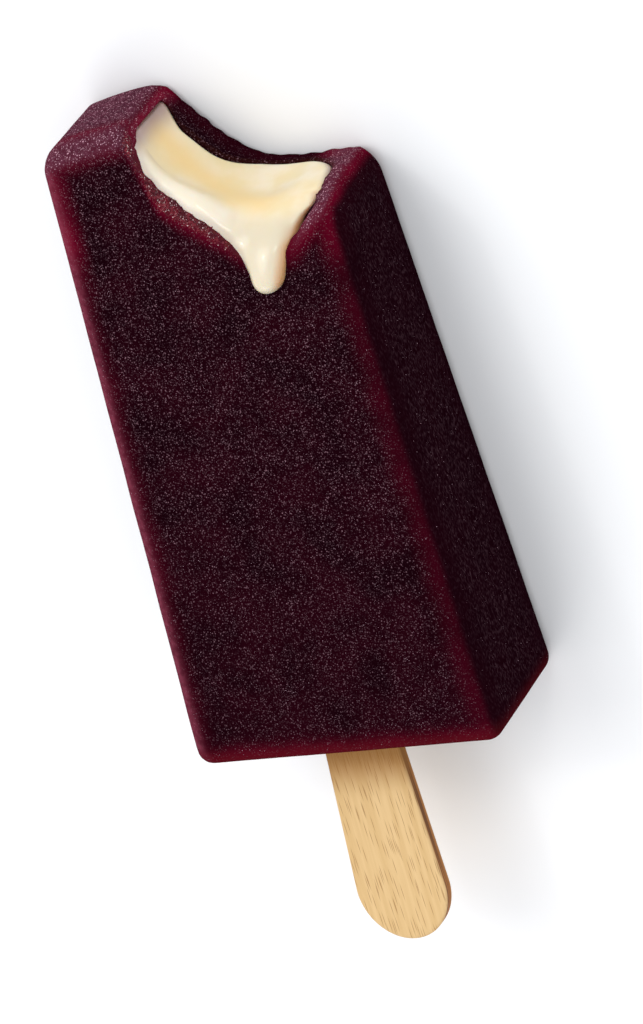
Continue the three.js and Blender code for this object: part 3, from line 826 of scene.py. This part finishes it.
# Painted glints: a few of the smaller wet crystals are coloured near white.
body = blend(wires, body, LIP_PAINTED_GLINT, glint.between(*GLINT_RANGE) * GLINT_SHARE)
feed(wires, shader, Base_Color=body, Roughness=0.2 + 0.2 * tint)
wet.data.materials.append(wet_material)
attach(wet, "root")

# ------------------------------------------------------------------------------ the stick
# A flat stick of plain birch, sawn from veneer, with a waist where the ice grips it and a wide
# rounded end to hold. It was frozen into the block, and leans a little in it.
STICK_LENGTH = 93
STICK_SHOWING = 35.8
STICK_BURIED = STICK_LENGTH - STICK_SHOWING
STICK_WAIST = 11.8
STICK_WIDE_END = 14.6
STICK_END_LENGTH = 8.4
STICK_THICKNESS = 2.2
STICK_EDGE = 0.3
STICK_X = -2.4
STICK_Z = 14.5
STICK_LEAN = -0.025
STICK_CELL = 0.4
STICK_CELL_ALONG = 0.8
STICK_CELL_THROUGH = 0.22
STICK_SPAN_X, STICK_SPAN_Z = (-8, 8.1), (-1.65, 1.7)
STICK_MARGINS = 1.1, 1.2
SAWN_REACH = 0.12, 0.4
DAMP_ALONG = -12.5, -4.0


def stick_field(x, y, z):
    """The stick in its own frame, where y is 0 at the end of the block."""
    widest = STICK_END_LENGTH - STICK_SHOWING
    half = STICK_WAIST / 2 + (STICK_WIDE_END - STICK_WAIST) / 2 * np.clip(y / widest, 0, 1)
    inner = STICK_BURIED - STICK_WAIST / 2
    reach = np.where(y < widest, (y - widest) / STICK_END_LENGTH * half,
                     np.maximum(y - inner, 0))
    return round_edge(np.hypot(x, reach) - half, np.abs(z) - STICK_THICKNESS / 2, STICK_EDGE)


WOOD_PALE = colour(226, 192, 140)
WOOD_BODY = colour(208, 171, 116)
WOOD_PORE = colour(142, 96, 50)
WOOD_SIDE_TONE_AND_SHADE = colour(156, 90, 24)
WOOD_LINE = colour(92, 56, 30)
WOOD_DAMP_AND_SHADOW = colour(148, 95, 32)
BAND_SCALE, BAND_ALONG, BANDS, BAND_SHARE = 0.9, 0.03, (0.35, 0.65), 0.5
FIBRE_ACROSS, FIBRE_ALONG, FIBRE_SHARE = 9, 0.25, 0.5
PORE_ACROSS, PORE_LEAN, PORE_ALONG = 3.3, 0.15, 0.11
PORE_DISC, PORE_SHARE = (0.21, 0.07), 0.75
LINE_THROUGH, LINE_ALONG, LINES, LINE_SHARE = 2.4, 0.03, (0.48, 0.58), 0.8
SAWN_SHARE = 0.9
DAMP_SHARE, DAMP_FIBRE = 0.65, 0.4
PORE_SUNK, WOOD_STRENGTH, WOOD_DEPTH = 0.6, 0.3, 0.05 * MM
WOOD_ROUGHNESS, FIBRE_ROUGHER = 0.55, 0.15

points, faces = skin(stick_field, np.arange(*STICK_SPAN_X, STICK_CELL),
                     np.arange(-STICK_SHOWING - STICK_MARGINS[0], STICK_BURIED + STICK_MARGINS[1],
                               STICK_CELL_ALONG),
                     np.arange(*STICK_SPAN_Z, STICK_CELL_THROUGH))
u, v, w = points.T
sawn = smooth(STICK_THICKNESS / 2 - np.abs(w), *SAWN_REACH)
place = (Matrix.Translation((STICK_X, 0, STICK_Z))
         @ Matrix.Rotation(-math.atan(MOULD_DRAFT / 2), 4, "X")
         @ Matrix.Rotation(STICK_LEAN, 4, "Z"))
turn = np.array(place)
points = points @ turn[:3, :3].T + turn[:3, 3]
marks = {"sawn": sawn, "damp_and_shadow": smooth(v, *DAMP_ALONG), "along": v, "across": u, "through": w}
stick = make_piece("stick_birch", points, faces, marks)

wood_material, wires, shader = new_material("plain_wood", IOR=1.45, Specular_IOR_Level=0.2)
mark = {m: wires.add("Attribute", {"attribute_name": m}, output="Fac") for m in marks}
# The grain is stretched noise in the stick's own millimetres: wide bands of growth, fine fibres,
# short dark pores on the flat faces, and the plies' dark lines on the sawn sides.
band_place = wires.add("CombineXYZ", {}, {"X": mark["across"],
                                          "Y": mark["along"] * BAND_ALONG})
band = wires.add("TexNoise", {}, {"Vector": band_place, "Scale": BAND_SCALE, "Detail": 3.0})
fibre_place = wires.add("CombineXYZ", {}, {"X": mark["across"] * FIBRE_ACROSS,
                                           "Y": mark["along"] * FIBRE_ALONG,
                                           "Z": mark["through"] * FIBRE_ACROSS})
fibre = wires.add("TexNoise", {}, {"Vector": fibre_place, "Scale": 1.0, "Detail": 2.0})
pore_place = wires.add("CombineXYZ", {}, {"X": (mark["across"] * PORE_ACROSS
                                                + mark["along"] * PORE_LEAN),
                                          "Y": mark["along"] * PORE_ALONG})
pore = wires.add("TexVoronoi", {"voronoi_dimensions": "2D"},
                 {"Vector": pore_place, "Scale": 1.0})
pores = pore.between(*PORE_DISC) * (1 - mark["sawn"])
line_place = wires.add("CombineXYZ", {}, {"X": mark["through"] * LINE_THROUGH,
                                          "Y": mark["along"] * LINE_ALONG})
line = wires.add("TexNoise", {}, {"Vector": line_place, "Scale": 1.0, "Detail": 2.0})
pale_share = band.between(*BANDS) * BAND_SHARE + fibre * FIBRE_SHARE
body = blend(wires, WOOD_BODY, WOOD_PALE, pale_share)
body = blend(wires, body, WOOD_PORE, pores * PORE_SHARE)
# The sawn sides: the wood's own browner tone there, with painted shade on top.
body = blend(wires, body, WOOD_SIDE_TONE_AND_SHADE, mark["sawn"] * SAWN_SHARE)
body = blend(wires, body, WOOD_LINE, mark["sawn"] * line.between(*LINES) * LINE_SHARE)
# Near the block the wood is damp, and darker still with a painted shadow from the block.
body = blend(wires, body, WOOD_DAMP_AND_SHADOW, mark["damp_and_shadow"] * (DAMP_SHARE + DAMP_FIBRE * fibre))
bump = wires.add("Bump", {}, {"Strength": WOOD_STRENGTH, "Distance": WOOD_DEPTH,
                              "Height": fibre - PORE_SUNK * pores})
feed(wires, shader, Base_Color=body, Roughness=WOOD_ROUGHNESS + FIBRE_ROUGHER * fibre,
     Normal=bump)
stick.data.materials.append(wood_material)
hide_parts("stick")
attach(stick, "root")

# ----------------------------------------------------------------------------- the studio
# A pale table under the pop, in a pale room. A big soft lamp stands high on the left, with a small
# one in it for the glints. A small window on the right edges the wet cream, and a weak lamp at
# the stick's end fills the shadows.
FLOOR_SIZE = 6.0
FLOOR_DROP = 0.00005
FLOOR_COLOUR = colour(250, 250, 250)
ROOM_COLOUR, ROOM_LIGHT = colour(236, 238, 242), 1.05
LAMP_AIM = 0, 0, 0.01
EYE = Vector((0.53298, 0.45548, 0.98008))
AIM = Vector((0.00135, -0.0165, 0.012))
CAMERA_ROLL = math.radians(-143.44)
LENS, SENSOR = 288.8, 36
CLIP_NEAR, CLIP_FAR = 0.05, 20

floor_mesh = bpy.data.meshes.new("floor")
half = FLOOR_SIZE / 2
floor_mesh.from_pydata([(-half, -half, -FLOOR_DROP), (half, -half, -FLOOR_DROP),
                        (half, half, -FLOOR_DROP), (-half, half, -FLOOR_DROP)], [],
                       [(0, 1, 2, 3)])
floor = bpy.data.objects.new("floor", floor_mesh)
bpy.context.scene.collection.objects.link(floor)
floor_material, wires, shader = new_material("pale_floor", Roughness=0.9,
                                             Base_Color=FLOOR_COLOUR)
floor.data.materials.append(floor_material)


def soft_lamp(name, place, size, watts):
    """A round lamp turned to the middle of the pop."""
    lamp = bpy.data.lights.new(name, "AREA")
    lamp.shape, lamp.size, lamp.energy = "DISK", size, watts
    body = bpy.data.objects.new(name, lamp)
    body.location = place
    body.rotation_euler = (Vector(LAMP_AIM) - Vector(place)).to_track_quat("-Z", "Y").to_euler()
    bpy.context.scene.collection.objects.link(body)


soft_lamp("key_lamp", place=(-0.6, 0.7, 1.0), size=1.0, watts=4.7)
soft_lamp("glint_lamp", place=(-0.6, 0.7, 1.0), size=0.16, watts=1.1)
soft_lamp("window_lamp", place=(0.33, 0.78, 0.98), size=0.2, watts=0.75)
soft_lamp("fill_lamp", place=(-0.5, -0.9, 0.9), size=0.9, watts=2.6)
room = bpy.data.worlds.new("room")
room.use_nodes = True
room.node_tree.nodes["Background"].inputs["Color"].default_value = ROOM_COLOUR
room.node_tree.nodes["Background"].inputs["Strength"].default_value = ROOM_LIGHT
bpy.context.scene.world = room
bpy.context.scene.view_settings.view_transform = "Standard"

camera_data = bpy.data.cameras.new("camera")
camera_data.lens, camera_data.sensor_width = LENS, SENSOR
camera_data.clip_start, camera_data.clip_end = CLIP_NEAR, CLIP_FAR
camera = bpy.data.objects.new("camera", camera_data)
bpy.context.scene.collection.objects.link(camera)
bpy.context.scene.camera = camera
camera.matrix_world = (Matrix.Translation(EYE)
                       @ (AIM - EYE).to_track_quat("-Z", "Y").to_matrix().to_4x4()
                       @ Matrix.Rotation(CAMERA_ROLL, 4, "Z"))
